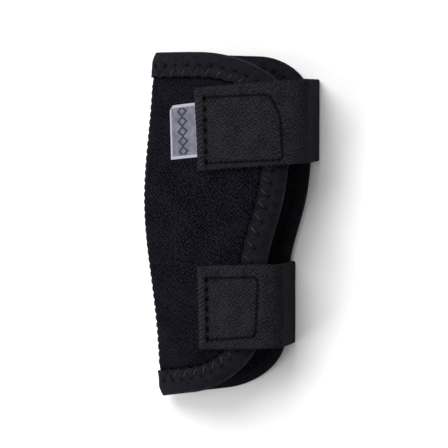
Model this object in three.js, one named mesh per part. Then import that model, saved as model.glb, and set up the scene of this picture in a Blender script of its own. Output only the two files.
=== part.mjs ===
// A soft neoprene wrap for a limb joint, closed by two hook-and-loop straps. Millimetres, +Z up.
// The wrap lies on its far panel. Its length runs along Y, the front seam is on the left (-X) and
// the opening that the straps close is on the right (+X). The origin is on the resting plane, under
// the middle of the wrap.
// Each panel is drawn flat, with s running from the front seam to the free edge and y along the
// limb, and is then laid on a surface that curves over the limb. n is the height above the middle of
// the laminate, positive outwards.
import * as THREE from "three";

const degrees = THREE.MathUtils.degToRad;

// Laminate of each panel: loop-faced outer fabric, foam core and lining.
const LAMINATE = 3.6;
const FABRIC = 0.4;
const GLUE_GAP = 0.3;
const FACE = LAMINATE / 2;

// Flat outline of a panel. The near one is cut rounder at its corners than the far one.
const LENGTH = 159;
const HALF_LENGTH = LENGTH / 2;
const WIDTH_MIDDLE = 66.1;
const WIDTH_SWING = 6.2;
const WIDTH_TURN_Y = -4;
const WIDTH_TURN_REACH = 22;
const CORNERS = {
  near: { top: { across: 43, along: 25 }, bottom: { across: 35, along: 29 } },
  far: { top: { across: 24, along: 22 }, bottom: { across: 27, along: 21 } },
};
const FAN_LEAN = 0.037;
const FAN_SPREAD = 0.081;
const SEAM_GAP = 0.35;

// The front seam bulges outwards over the joint and leans in below it.
const FRONT_X = -32.2;
const FRONT_LEAN = 0.018;
const FRONT_BULGE = 6.3;
const BULGE_Y = 9;
const BULGE_REACH = 46;
const BULGE_FADE = 45;

// Cross-section: a tight nose at the seam, a flat far panel and an arched near panel.
const NOSE_RADIUS = 5;
const ARCH_RADIUS = 74.5;
const ARCH_START = degrees(44);

// Binding folded over the free edges, and the zigzag that holds it.
const BINDING = { thickness: 0.5, width: 11, slack: 0.4, clearance: 0.3, fold: 0.3 };
const BINDING_FACE = FACE + BINDING.clearance + BINDING.thickness;
const THREAD = { width: 0.7, thickness: 0.25, clearance: 0.1 };
const HEM_ZIGZAG = { middle: 8.2, swing: 2.2, pitch: 6.5, end: 12 };
const SEAM_ZIGZAG = { swing: 2.4, pitch: 7, end: 66, fine: 3, clearance: 0.5 };

// Straps, from the sewn stretch under the far panel, round the opening, to the tip on top.
const WEBBING = { width: 38, thickness: 1.4 };
const HOOK = { thickness: 1, inset: 4, margin: 1 };
const HOOK_FLOOR = BINDING_FACE + THREAD.clearance + THREAD.thickness + 0.15;
const WEBBING_GAP = 0.15;
const WEBBING_MIDDLE = HOOK_FLOOR + HOOK.thickness + WEBBING_GAP + WEBBING.thickness / 2;
const RESTING_GAP = 0.15;
const BEND_TOP = 8;
const BEND_BOTTOM = 1.7;
const HINGE_SLIT = 0.4;
const STRAPS = [
  { name: "upper", tipX: -11.2, tipY: 43.2, tilt: degrees(3.4), riseX: 40.5, sewn: 62, patch: 39.5 },
  { name: "lower", tipX: -10.0, tipY: -38.3, tilt: degrees(1.6), riseX: 29.1, sewn: 52, patch: 27 },
];
const BOX_STITCH = { inset: 5.5, side: 3.4, corner: 2.5, patchMargin: 1.5 };
const TIP_ZIGZAG = { fromTip: 2.4, swing: 0.7, pitch: 3, side: 3 };
const ANCHOR_BOX = { fromEdge: 20, length: 26, side: 6, corner: 2.5 };

// Woven tag, tucked under the tip of the upper strap.
const TAG = { out: 16, tucked: 3, width: 25, thickness: 0.3 };

// Heights that follow from the stack: webbing, hem thread, binding and laminate.
const FAR_Z = WEBBING.thickness + RESTING_GAP + THREAD.thickness + THREAD.clearance + BINDING_FACE;
const SEAM_Z = FAR_Z + NOSE_RADIUS;

const COLOURS = {
  outer: 0x16151c,
  foam: 0x101012,
  lining: 0x1b1a20,
  binding: 0x1c1b20,
  thread: 0x6c6a70,
  webbing: 0x232226,
  hook: 0x19191b,
  tag: 0xa6a6b6,
};

// ---- Curves -------------------------------------------------------------------------------------

function travel(piece, distance) {
  const { x, z, heading, bend } = piece;
  if (bend === 0) {
    return [x + distance * Math.cos(heading), z + distance * Math.sin(heading)];
  }
  const turned = heading + bend * distance;
  return [
    x + (Math.sin(turned) - Math.sin(heading)) / bend,
    z - (Math.cos(turned) - Math.cos(heading)) / bend,
  ];
}

// A curve in the XZ plane made of tangent lines and arcs, each given as [length, turn].
function tangentPath(x, z, heading, pieces) {
  const laid = [];
  let from = 0;
  for (const [length, turn] of pieces) {
    const piece = { from, x, z, heading, bend: turn / length };
    laid.push(piece);
    [x, z] = travel(piece, length);
    heading += turn;
    from += length;
  }
  return (distance) => {
    const piece = laid.findLast((p) => p.from <= distance) ?? laid[0];
    const [px, pz] = travel(piece, distance - piece.from);
    return { x: px, z: pz, heading: piece.heading + piece.bend * (distance - piece.from) };
  };
}

function lerp(a, b, t) {
  return a + (b - a) * t;
}

function triangleWave(t) {
  return 1 - 4 * Math.abs((t % 1) - 0.5);
}

// Flat width of a panel from the seam to the free edge, without its corners.
function panelWidth(y) {
  return WIDTH_MIDDLE + WIDTH_SWING * Math.tanh((y - WIDTH_TURN_Y) / WIDTH_TURN_REACH);
}

function corner(size, angle, end) {
  const y = end * (HALF_LENGTH - size.along * (1 - Math.sin(angle)));
  return new THREE.Vector2(panelWidth(y) - size.across * (1 - Math.cos(angle)), y);
}

const OUTLINE_DIVISIONS = 400;

// The free edge of a flat panel, a fifth of t each: bottom edge, corner, side, corner and top edge.
class PanelOutline extends THREE.Curve {
  constructor(corners) {
    super();
    this.corners = corners;
    this.arcLengthDivisions = OUTLINE_DIVISIONS;
  }

  getPoint(t) {
    const fifth = Math.min(Math.floor(t * 5), 4);
    const part = t * 5 - fifth;
    const quarter = Math.PI / 2;
    const { top, bottom } = this.corners;
    const lowest = corner(bottom, quarter, -1);
    const highest = corner(top, quarter, 1);
    if (fifth === 0) return new THREE.Vector2(lerp(SEAM_GAP, lowest.x, part), -HALF_LENGTH);
    if (fifth === 1) return corner(bottom, quarter * (1 - part), -1);
    if (fifth === 3) return corner(top, quarter * part, 1);
    if (fifth === 4) return new THREE.Vector2(lerp(highest.x, SEAM_GAP, part), HALF_LENGTH);
    const y = lerp(bottom.along - HALF_LENGTH, HALF_LENGTH - top.along, part);
    return new THREE.Vector2(panelWidth(y), y);
  }
}

// ---- Surfaces -----------------------------------------------------------------------------------

function frontShift(y) {
  const bulge = FRONT_BULGE * Math.exp(-(((y - BULGE_Y) / BULGE_REACH) ** 2));
  return -FRONT_LEAN * y - bulge;
}

// Lays a point of a flat panel on its curved surface. outward is 1 on the near panel, -1 on the far.
function layOn(path, outward) {
  return (s, y, n) => {
    const { x, z, heading } = path(s);
    const fade = 0.5 + 0.5 * Math.cos(Math.PI * Math.min(s / BULGE_FADE, 1));
    return new THREE.Vector3(
      x - outward * n * Math.sin(heading) + fade * frontShift(y),
      y + s * (FAN_LEAN - (FAN_SPREAD * y) / HALF_LENGTH),
      z + outward * n * Math.cos(heading),
    );
  };
}

const quarterTurn = Math.PI / 2;
const noseTurn = quarterTurn - ARCH_START;
const nearPath = tangentPath(FRONT_X, SEAM_Z, quarterTurn, [
  [NOSE_RADIUS * noseTurn, -noseTurn],
  [ARCH_RADIUS, -1],
]);
const farPath = tangentPath(FRONT_X, SEAM_Z, -quarterTurn, [
  [NOSE_RADIUS * quarterTurn, quarterTurn],
  [LENGTH, 0],
]);
const near = layOn(nearPath, 1);
const far = layOn(farPath, -1);

// Centre of the near panel's arch, which the straps share.
const archX = FRONT_X + NOSE_RADIUS * (1 - Math.sin(ARCH_START)) + ARCH_RADIUS * Math.sin(ARCH_START);
const archZ = SEAM_Z + (NOSE_RADIUS - ARCH_RADIUS) * Math.cos(ARCH_START);

// A strap's middle surface, with the distance measured from its tip to its sewn end.
function strapSurface(strap) {
  const radius = ARCH_RADIUS + WEBBING_MIDDLE;
  const tipHeading = Math.asin((archX - strap.tipX) / radius);
  const bendHeading = Math.asin((archX + BEND_TOP - strap.riseX) / (radius - BEND_TOP));
  const flap = radius * (tipHeading - bendHeading);
  const bendZ = archZ + radius * Math.cos(bendHeading);
  const rise = bendZ - BEND_TOP * Math.cos(bendHeading) - BEND_BOTTOM - WEBBING.thickness / 2;
  const path = tangentPath(strap.tipX, archZ + radius * Math.cos(tipHeading), tipHeading, [
    [flap, bendHeading - tipHeading],
    [BEND_TOP * (bendHeading + quarterTurn), -bendHeading - quarterTurn],
    [rise, 0],
    [BEND_BOTTOM * quarterTurn, -quarterTurn],
    [LENGTH, 0],
  ]);
  const round = flap + BEND_TOP * (bendHeading + quarterTurn) + rise + BEND_BOTTOM * quarterTurn;
  // across is the place on the strap's width; the tip is cut square to the strap's own length.
  const lay = (distance, across, n) => {
    const start = -across * Math.sin(strap.tilt);
    const { x, z, heading } = path(distance);
    return new THREE.Vector3(
      x - n * Math.sin(heading),
      strap.tipY + across * Math.cos(strap.tilt) + (distance - start) * Math.tan(strap.tilt),
      z + n * Math.cos(heading),
    );
  };
  return { lay, flap, round, tip: (across) => -across * Math.sin(strap.tilt) };
}

// ---- Solids -------------------------------------------------------------------------------------

// How finely the bent solids are divided.
const ACROSS_STEPS = 13;
const NOSE_BUNCHING = 1.5;
const CORNER_STEPS = 9;
const SIDE_STEPS = 8;
const BINDING_STEPS = 72;
const END_BUNCHING = 1.6;
const BOX_STEPS = 30;
const WEBBING_STEPS = 2;

function signedVolume(geometry) {
  const p = geometry.getAttribute("position");
  const [a, b, c] = [new THREE.Vector3(), new THREE.Vector3(), new THREE.Vector3()];
  const index = geometry.index;
  const count = index ? index.count : p.count;
  const at = (i) => (index ? index.getX(i) : i);
  let volume = 0;
  for (let i = 0; i < count; i += 3) {
    a.fromBufferAttribute(p, at(i));
    b.fromBufferAttribute(p, at(i + 1));
    c.fromBufferAttribute(p, at(i + 2));
    volume += a.dot(b.cross(c));
  }
  return volume;
}

// Moves every vertex of a closed geometry by map and keeps its faces pointing out.
function bend(geometry, map) {
  const solid = geometry.index ? geometry.toNonIndexed() : geometry;
  const p = solid.getAttribute("position");
  for (let i = 0; i < p.count; i += 1) {
    const point = map(p.getX(i), p.getY(i), p.getZ(i));
    p.setXYZ(i, point.x, point.y, point.z);
  }
  if (signedVolume(solid) < 0) {
    for (let i = 0; i < p.count; i += 3) {
      const [x, y, z] = [p.getX(i), p.getY(i), p.getZ(i)];
      p.setXYZ(i, p.getX(i + 1), p.getY(i + 1), p.getZ(i + 1));
      p.setXYZ(i + 1, x, y, z);
    }
  }
  solid.computeVertexNormals();
  return solid;
}

// A unit slab in x and y, whose z already is a height n between bottom and top.
function slab(bottom, top, alongSteps, acrossSteps) {
  const box = new THREE.BoxGeometry(1, 1, top - bottom, alongSteps, acrossSteps, 1);
  return box.translate(0.5, 0.5, (top + bottom) / 2);
}

// One layer of a panel: rows run from the seam to the free edge, bunched at the rounded corners, and
// their steps are shortest round the tight nose at the seam.
function panelLayer(lay, outline, bottom, top) {
  const rows = 2 * CORNER_STEPS + SIDE_STEPS;
  return bend(slab(bottom, top, ACROSS_STEPS, rows), (u, v, n) => {
    const row = Math.round(v * rows);
    const side = THREE.MathUtils.clamp((row - CORNER_STEPS) / SIDE_STEPS, 0, 1);
    const lowCorner = Math.min(row / CORNER_STEPS, 1);
    const highCorner = Math.max((row - CORNER_STEPS - SIDE_STEPS) / CORNER_STEPS, 0);
    const edge = outline.getPoint((1 + lowCorner + side + highCorner) / 5);
    return lay(lerp(SEAM_GAP, edge.x, u ** NOSE_BUNCHING), edge.y, n);
  });
}

// Point of the flat panel at a share of the outline's length, moved inwards by depth.
function insideOutline(outline, share, depth) {
  const point = outline.getPointAt(share);
  const tangent = outline.getTangentAt(share);
  return new THREE.Vector2(point.x - depth * tangent.y, point.y + depth * tangent.x);
}

// Lengthwise share of the binding, with the shortest steps round the nose at both of its ends.
function bunchedShare(t) {
  const fromEnd = Math.min(t, 1 - t) * 2;
  const share = fromEnd ** END_BUNCHING / 2;
  return t < 0.5 ? share : 1 - share;
}

// A tape folded over the free edge: its section runs in over one face, round the edge and back.
function binding(lay, outline) {
  const inner = FACE + BINDING.clearance;
  const reach = BINDING.width + BINDING.slack - BINDING.fold;
  const turn = BINDING.fold * quarterTurn;
  const lengths = [reach, turn, 2 * (inner - BINDING.fold), turn, reach];
  const turns = [0, quarterTurn, 0, quarterTurn, 0];
  const pieces = lengths.map((length, i) => [length, turns[i]]);
  const section = tangentPath(BINDING.width, inner, 2 * quarterTurn, pieces);
  const stations = lengths.reduce((list, length) => [...list, list.at(-1) + length], [0]);
  const strip = slab(0, BINDING.thickness, BINDING_STEPS, lengths.length);
  return bend(strip, (t, v, out) => {
    const fold = section(stations[Math.round(v * lengths.length)]);
    const depth = fold.x + out * Math.sin(fold.heading);
    const flat = insideOutline(outline, bunchedShare(t), depth);
    return lay(Math.max(flat.x, SEAM_GAP), flat.y, fold.z - out * Math.cos(fold.heading));
  });
}

// A zigzag seam, as a flat thread that swings to and fro along a route of the given length.
function zigzag(route, length, floor, { middle = 0, swing, pitch, fine = 1 }) {
  const halfStitches = Math.round((2 * length) / pitch);
  const steps = halfStitches * fine;
  const slope = Math.hypot(1, (4 * swing) / pitch);
  const ribbon = slab(floor, floor + THREAD.thickness, steps, 1);
  return bend(ribbon, (share, side, n) => {
    const half = Math.round(share * steps) / fine;
    const across = middle + swing * triangleWave(half / 2) + (side - 0.5) * THREAD.width * slope;
    return route(share, across, n);
  });
}

// A row of straight stitches round a rounded rectangle, left open where it starts and ends.
function boxStitch(lay, floor, { from, to, low, high, radius }) {
  const ring = new THREE.Shape();
  ring.moveTo(lerp(from, to, 0.5), low);
  ring.lineTo(to - radius, low);
  ring.absarc(to - radius, low + radius, radius, -quarterTurn, 0);
  ring.lineTo(to, high - radius);
  ring.absarc(to - radius, high - radius, radius, 0, quarterTurn);
  ring.lineTo(from + radius, high);
  ring.absarc(from + radius, high - radius, radius, quarterTurn, 2 * quarterTurn);
  ring.lineTo(from, low + radius);
  ring.absarc(from + radius, low + radius, radius, 2 * quarterTurn, 3 * quarterTurn);
  ring.lineTo(lerp(from, to, 0.5) - THREAD.width, low);
  return bend(slab(floor, floor + THREAD.thickness, BOX_STEPS, 1), (share, side, n) => {
    const point = ring.getPointAt(share);
    const tangent = ring.getTangentAt(share);
    const off = (side - 0.5) * THREAD.width;
    return lay(point.x - off * tangent.y, point.y + off * tangent.x, n);
  });
}

// A stretch of webbing or patch between two distances along its strap.
function strapPiece(strap, { from, to, width, bottom, top, steps }) {
  return bend(slab(bottom, top, steps, WEBBING_STEPS), (u, v, n) => {
    const across = (v - 0.5) * width;
    return strap.lay(lerp(from(across), to(across), u), across, n);
  });
}

// ---- Assembly -----------------------------------------------------------------------------------

const wrap = new THREE.Group();
wrap.name = "joint_wrap";

function add(name, colour, geometry, parent = wrap) {
  const material = new THREE.MeshStandardMaterial({ color: colour, roughness: 0.9, metalness: 0 });
  const mesh = new THREE.Mesh(geometry, material);
  mesh.name = name;
  parent.add(mesh);
}

function addPanel(name, lay) {
  const foam = FACE - FABRIC - GLUE_GAP;
  const stitchFloor = BINDING_FACE + THREAD.clearance;
  const outline = new PanelOutline(CORNERS[name]);
  const outlineLength = outline.getLength();
  const clear = HEM_ZIGZAG.end / outlineLength;
  const route = (share, depth, n) => {
    const flat = insideOutline(outline, lerp(clear, 1 - clear, share), depth);
    return lay(flat.x, flat.y, n);
  };
  add("outer_" + name, COLOURS.outer, panelLayer(lay, outline, FACE - FABRIC, FACE));
  add("foam_" + name, COLOURS.foam, panelLayer(lay, outline, -foam, foam));
  add("lining_" + name, COLOURS.lining, panelLayer(lay, outline, -FACE, FABRIC - FACE));
  add("binding_" + name, COLOURS.binding, binding(lay, outline));
  const hem = zigzag(route, outlineLength - 2 * HEM_ZIGZAG.end, stitchFloor, HEM_ZIGZAG);
  add("hem_thread_" + name, COLOURS.thread, hem);
}

function addFrontSeam() {
  const route = (share, across, n) => {
    const y = lerp(-SEAM_ZIGZAG.end, SEAM_ZIGZAG.end, share);
    return across > 0 ? near(across, y, n) : far(-across, y, n);
  };
  const seam = zigzag(route, 2 * SEAM_ZIGZAG.end, FACE + SEAM_ZIGZAG.clearance, SEAM_ZIGZAG);
  add("front_seam_thread", COLOURS.thread, seam);
}

function addStrap(design) {
  const strap = strapSurface(design);
  const half = WEBBING.thickness / 2;
  const sewnEnd = strap.round + design.sewn;
  const hinge = new THREE.Group();
  hinge.name = design.name + "_strap_fold";
  wrap.add(hinge);

  add(
    design.name + "_strap_base",
    COLOURS.webbing,
    strapPiece(strap, {
      from: () => strap.flap + HINGE_SLIT,
      to: (across) => sewnEnd + strap.tip(across),
      width: WEBBING.width,
      bottom: -half,
      top: half,
      steps: 24,
    }),
  );
  add(
    design.name + "_strap_flap",
    COLOURS.webbing,
    strapPiece(strap, {
      from: strap.tip,
      to: () => strap.flap,
      width: WEBBING.width,
      bottom: -half,
      top: half,
      steps: 14,
    }),
    hinge,
  );
  add(
    design.name + "_hook_patch",
    COLOURS.hook,
    strapPiece(strap, {
      from: (across) => strap.tip(across) + HOOK.inset,
      to: (across) => strap.tip(across) + HOOK.inset + design.patch,
      width: WEBBING.width - 2 * HOOK.margin,
      bottom: -half - WEBBING_GAP - HOOK.thickness,
      top: -half - WEBBING_GAP,
      steps: 10,
    }),
    hinge,
  );

  const onFlap = (along, across, n) => strap.lay(along + strap.tip(across), across, n);
  const reach = WEBBING.width / 2 - BOX_STITCH.side;
  const box = boxStitch(onFlap, half + THREAD.clearance, {
    from: BOX_STITCH.inset,
    to: HOOK.inset + design.patch - BOX_STITCH.patchMargin,
    low: -reach,
    high: reach,
    radius: BOX_STITCH.corner,
  });
  add(design.name + "_box_thread", COLOURS.thread, box, hinge);

  const barHalf = WEBBING.width / 2 - TIP_ZIGZAG.side;
  const tipRoute = (share, swing, n) =>
    onFlap(TIP_ZIGZAG.fromTip + swing, lerp(-barHalf, barHalf, share), n);
  const bar = zigzag(tipRoute, 2 * barHalf, half + THREAD.clearance, TIP_ZIGZAG);
  add(design.name + "_tip_thread", COLOURS.thread, bar, hinge);

  // The strap's anchor stitches come out on the lining inside the far panel.
  const edgeX = design.riseX - ANCHOR_BOX.fromEdge;
  const anchorY = strap.lay(strap.round + ANCHOR_BOX.fromEdge, 0, 0).y;
  const anchorReach = WEBBING.width / 2 - ANCHOR_BOX.side;
  const onLining = (x, y, n) => new THREE.Vector3(x, y, FAR_Z + n);
  const anchor = boxStitch(onLining, FACE + THREAD.clearance, {
    from: edgeX - ANCHOR_BOX.length,
    to: edgeX,
    low: anchorY - anchorReach,
    high: anchorY + anchorReach,
    radius: ANCHOR_BOX.corner,
  });
  add(design.name + "_anchor_thread", COLOURS.thread, anchor);
  return { strap, hinge };
}

function addTag({ strap, hinge }) {
  const ceiling = -WEBBING.thickness / 2 - WEBBING_GAP;
  const tag = strapPiece(strap, {
    from: (across) => strap.tip(across) - TAG.out,
    to: (across) => strap.tip(across) + TAG.tucked,
    width: TAG.width,
    bottom: ceiling - TAG.thickness,
    top: ceiling,
    steps: 6,
  });
  add("woven_tag", COLOURS.tag, tag, hinge);
}

addPanel("near", near);
addPanel("far", far);
addFrontSeam();
const [upper] = STRAPS.map(addStrap);
addTag(upper);

export default wrap;
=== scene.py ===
"""A soft neoprene joint wrap with two hook-and-loop straps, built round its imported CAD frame.

Lengths in the formulas are millimetres, as in the CAD part; a mesh is turned to metres when it is made.
Each panel is drawn flat, with s from the front seam to the free edge and y along the limb, then laid
on its curved surface. n is the height above the middle of the laminate, positive outwards.
"""
import math

import bpy
import numpy as np
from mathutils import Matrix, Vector


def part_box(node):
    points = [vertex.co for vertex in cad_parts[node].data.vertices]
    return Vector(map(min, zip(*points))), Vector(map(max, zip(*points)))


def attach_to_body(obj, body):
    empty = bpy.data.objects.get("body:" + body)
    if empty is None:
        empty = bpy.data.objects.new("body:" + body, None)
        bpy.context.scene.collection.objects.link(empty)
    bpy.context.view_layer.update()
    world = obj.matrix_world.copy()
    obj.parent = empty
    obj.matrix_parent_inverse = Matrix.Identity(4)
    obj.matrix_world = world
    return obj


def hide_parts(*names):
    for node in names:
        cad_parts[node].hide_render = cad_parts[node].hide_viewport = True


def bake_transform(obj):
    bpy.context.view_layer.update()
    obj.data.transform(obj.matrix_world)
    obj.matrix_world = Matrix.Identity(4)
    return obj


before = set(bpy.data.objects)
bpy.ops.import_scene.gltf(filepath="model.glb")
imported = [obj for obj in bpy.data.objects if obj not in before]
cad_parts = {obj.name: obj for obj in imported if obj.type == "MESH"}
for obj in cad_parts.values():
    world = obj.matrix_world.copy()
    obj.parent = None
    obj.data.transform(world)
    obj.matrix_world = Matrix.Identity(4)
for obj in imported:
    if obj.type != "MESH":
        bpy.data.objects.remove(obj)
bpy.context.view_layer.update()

MM = 0.001
TAU = 2 * math.pi
QUARTER = math.pi / 2

# ---- The CAD part's driving dimensions -----------------------------------------------------------

FACE = 1.8                      # half the laminate's thickness
FABRIC = 0.4
BINDING_FACE = 2.6
BINDING_WIDTH = 11.0
HALF_LENGTH = 79.5
WIDTH_MIDDLE, WIDTH_SWING, WIDTH_TURN_Y, WIDTH_TURN_REACH = 66.1, 6.2, -4.0, 22.0
CORNERS = {                     # (across, along) of the top and bottom corners
    "near": {"top": (43.0, 25.0), "bottom": (35.0, 29.0)},
    "far": {"top": (24.0, 22.0), "bottom": (27.0, 21.0)},
}
FAN_LEAN, FAN_SPREAD = 0.037, 0.081
FRONT_X, FRONT_LEAN = -32.2, 0.018
FRONT_BULGE, BULGE_Y, BULGE_REACH, BULGE_FADE = 6.3, 9.0, 46.0, 45.0
NOSE_RADIUS, ARCH_RADIUS, ARCH_START = 5.0, 74.5, math.radians(44)
FAR_Z = 4.5
SEAM_Z = FAR_Z + NOSE_RADIUS
WEBBING_WIDTH, WEBBING_THICKNESS, WEBBING_MIDDLE = 38.0, 1.4, 4.95
BEND_TOP, BEND_BOTTOM = 8.0, 1.7
HOOK_INSET, HOOK_MARGIN = 4.0, 1.0
STRAPS = {
    "upper": dict(tip=(-11.2, 43.2), tilt=math.radians(3.4), rise=40.5, sewn=62.0, patch=39.5),
    "lower": dict(tip=(-10.0, -38.3), tilt=math.radians(1.6), rise=29.1, sewn=52.0, patch=27.0),
}
BODY = "sleeve"

# ---- Details that the CAD part draws more plainly ------------------------------------------------

BOX_LINES = {                   # corners of the stitched boxes, (along, across)
    "upper": [(5.0, -16.0), (42.0, -16.8), (42.0, 3.0), (37.6, 13.0), (5.6, 14.2)],
    "lower": [(4.8, -14.9), (28.8, -13.7), (30.8, 13.3), (5.0, 13.3)],
}
BOX_CORNER, BOX_PITCH, LEFT_PITCH = 2.6, 2.5, 4.2
ANCHOR_SIDE, ANCHOR_PITCH = 6.0, 2.6
EDGE_ROUND = 0.62               # the webbing's selvedges
HALF_WEB = WEBBING_THICKNESS / 2
ZIGZAG_PITCH, HEM_START = 6.5, 13.0
NEEDLE_OUTER, NEEDLE_INNER = 5.9, 10.2      # depths of the hem's needle holes
FOLD_DROP = 0.55                # how much the tape thins at its fold
INNER_PUCKER = 0.8              # the tape's inner face against its outer face
SQUEEZE_REACH, SQUEEZE = 5.5, 0.45
PANEL_COLUMNS = 72
SEAM_END, SEAM_PITCH, SEAM_LIFT = 66.0, 3.4, 0.1
TAG_OUT, TAG_TUCK, TAG_WIDTH, TAG_CHAMFER, TAG_HALF = 18.0, 3.0, 25.0, 2.6, 0.17
BLEND_START, BLEND_END = 8.0, -2.5          # two distances past the flap's end, given to flap_bend
STITCH_STEP = 20.0              # between one stitch and the next in a thread's UV map

# ---- Curves and surfaces -------------------------------------------------------------------------


def travel(x, z, heading, bend, distance):
    """The point that lies a distance along a line (bend 0) or an arc in the XZ plane."""
    flat = np.abs(bend) < 1e-9
    safe = np.where(flat, 1.0, bend)
    turned = heading + bend * distance
    ahead_x = np.where(flat, distance * np.cos(heading), (np.sin(turned) - np.sin(heading)) / safe)
    ahead_z = np.where(flat, distance * np.sin(heading), (np.cos(heading) - np.cos(turned)) / safe)
    return x + ahead_x, z + ahead_z


class TangentPath:
    """Tangent lines and arcs in the XZ plane, each given as (length, turn)."""

    def __init__(self, x, z, heading, pieces):
        rows, start = [], 0.0
        for length, turn in pieces:
            bend = turn / length
            rows.append((start, float(x), float(z), heading, bend))
            x, z = travel(x, z, heading, bend, length)
            heading += turn
            start += length
        self.rows = np.array(rows)

    def at(self, distance):
        distance = np.asarray(distance, float)
        last = len(self.rows) - 1
        found = np.clip(np.searchsorted(self.rows[:, 0], distance, side="right") - 1, 0, last)
        start, x, z, heading, bend = np.moveaxis(self.rows[found], -1, 0)
        px, pz = travel(x, z, heading, bend, distance - start)
        return px, pz, heading + bend * (distance - start)


def panel_width(y):
    return WIDTH_MIDDLE + WIDTH_SWING * np.tanh((y - WIDTH_TURN_Y) / WIDTH_TURN_REACH)


def corner(size, angle, end):
    across, along = size
    y = end * (HALF_LENGTH - along * (1 - np.sin(angle)))
    return panel_width(y) - across * (1 - np.cos(angle)), y


NOSE_TURN = QUARTER - ARCH_START
NEAR_PATH = TangentPath(FRONT_X, SEAM_Z, QUARTER,
                        [(NOSE_RADIUS * NOSE_TURN, -NOSE_TURN), (ARCH_RADIUS, -1.0)])
FAR_PATH = TangentPath(FRONT_X, SEAM_Z, -QUARTER,
                       [(NOSE_RADIUS * QUARTER, QUARTER), (200.0, 0.0)])
ARCH_X = FRONT_X + NOSE_RADIUS * (1 - math.sin(ARCH_START)) + ARCH_RADIUS * math.sin(ARCH_START)
ARCH_Z = SEAM_Z + (NOSE_RADIUS - ARCH_RADIUS) * math.cos(ARCH_START)


def lay(side, s, y, n):
    """A point of the flat near or far panel on its curved surface."""
    path, outward = (NEAR_PATH, 1) if side == "near" else (FAR_PATH, -1)
    x, z, heading = path.at(s)
    fade = 0.5 + 0.5 * np.cos(math.pi * np.minimum(s / BULGE_FADE, 1))
    shift = -FRONT_LEAN * y - FRONT_BULGE * np.exp(-(((y - BULGE_Y) / BULGE_REACH) ** 2))
    return np.stack(np.broadcast_arrays(
        x - outward * n * np.sin(heading) + fade * shift,
        y + s * (FAN_LEAN - FAN_SPREAD * y / HALF_LENGTH),
        z + outward * n * np.cos(heading)), axis=-1)


def smoothstep(low, high, value):
    t = np.clip((value - low) / (high - low), 0, 1)
    return t * t * (3 - 2 * t)


def waves(u, v, seed, longest=38.0, octaves=4):
    """Smooth seeded unevenness of about -1 to 1 over a flat surface."""
    random = np.random.default_rng(seed)
    total, height = 0.0, 1.0
    for octave in range(octaves):
        for _ in range(3):
            angle, phase = random.uniform(0, TAU, 2)
            reach = longest / 1.9**octave * random.uniform(0.8, 1.25)
            place = u * np.cos(angle) + v * np.sin(angle)
            total = total + height * np.sin(TAU * place / reach + phase)
        height *= 0.55
    return total / 4


def lengths_along(points):
    """Length of the line of points up to each of them."""
    return np.concatenate([[0], np.cumsum(np.linalg.norm(np.diff(points, axis=0), axis=1))])


def there_and_back(over, under):
    """Rows of values over one face and back under the other, as one closed row each."""
    return np.concatenate([over, under[:, ::-1]], axis=1)


class Outline:
    """The free edge of a flat panel by length, from the seam at the bottom to the seam at the top."""

    def __init__(self, top_corner, bottom_corner, samples=600):
        quarter = np.linspace(0, QUARTER, samples)
        side_ends = [bottom_corner[1] - HALF_LENGTH, HALF_LENGTH - top_corner[1]]
        side_y = np.linspace(*side_ends, samples)
        low, high = corner(bottom_corner, quarter[::-1], -1), corner(top_corner, quarter, 1)
        bottom = (np.linspace(0, low[0][0], samples), np.full(samples, -HALF_LENGTH))
        top = (np.linspace(high[0][-1], 0, samples), np.full(samples, HALF_LENGTH))
        stretches = [bottom, low, (panel_width(side_y), side_y), high, top]
        points = np.concatenate([np.stack(stretch, 1)[1:] for stretch in stretches])
        self.points = points
        self.lengths = lengths_along(points)
        self.total = self.lengths[-1]
        self.tangents = np.gradient(points, self.lengths, axis=0)
        self.side_ends = np.interp(side_ends, points[:, 1], self.lengths)

    def at(self, length, depth):
        """(s, y) of the point that lies depth inside the edge."""
        s, y = (np.interp(length, self.lengths, self.points[:, i]) for i in (0, 1))
        ts, ty = (np.interp(length, self.lengths, self.tangents[:, i]) for i in (0, 1))
        size = np.hypot(ts, ty)
        return np.maximum(s - depth * ty / size, 0.05), y + depth * ts / size

    def area(self):
        """Flat area inside the edge, in square metres."""
        s, y = self.points.T
        return 0.5 * float(np.sum(s * np.roll(y, -1) - y * np.roll(s, -1))) * MM**2

    def cut_size(self):
        """(width, length) of the flat cut, in metres."""
        return float(self.points[:, 0].max()) * MM, 2 * HALF_LENGTH * MM


OUTLINES = {side: Outline(sizes["top"], sizes["bottom"]) for side, sizes in CORNERS.items()}


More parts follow.
